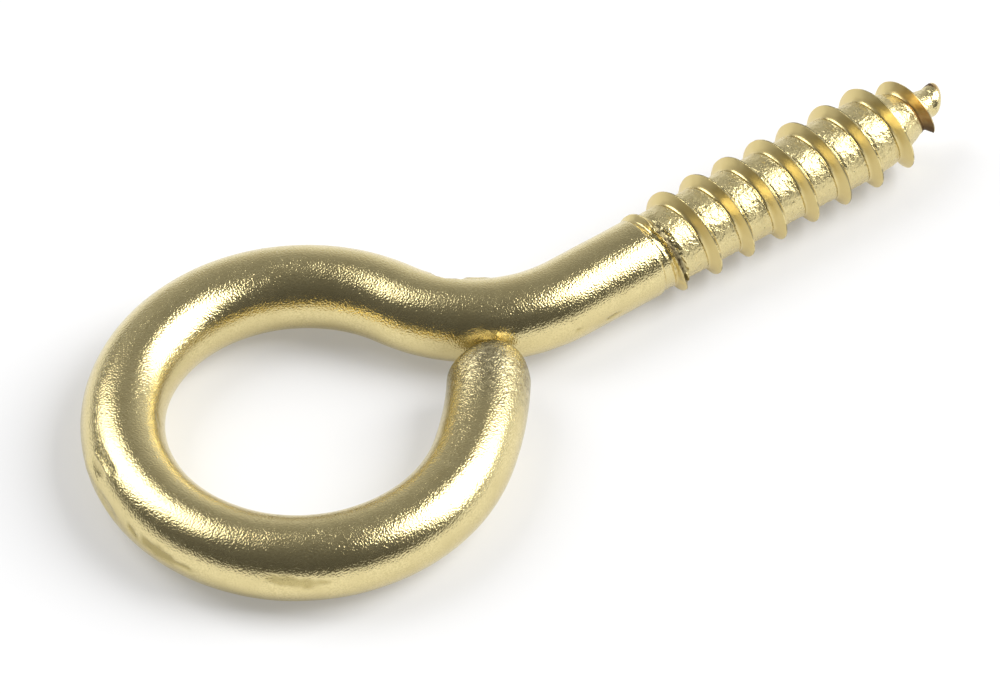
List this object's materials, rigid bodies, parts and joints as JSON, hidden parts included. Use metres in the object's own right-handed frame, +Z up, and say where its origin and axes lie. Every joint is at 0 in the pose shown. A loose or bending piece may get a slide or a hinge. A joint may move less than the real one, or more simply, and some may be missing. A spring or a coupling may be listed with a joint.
{
  "type": "screw eye",
  "caption": "Screw eye bent from round brass wire: an open ring on a short shank with a coarse wood-screw thread and a blunt point.",
  "frame": {"origin": "centre of the eye, in the wire's middle plane", "axes": "+X along the shank from the eye to the point, +Z up from the surface that the part lies on; the whole part leans 0.78 degrees about Y, because the thread's crests stand out past the wire"},
  "size_m": [0.0475, 0.0208, 0.005],
  "materials": {
    "brass": "satin bright brass with a fine grain, rougher in the thread's roots"
  },
  "bodies": {
    "root": {"screw_eye": "brass"}
  },
  "joints": []
}
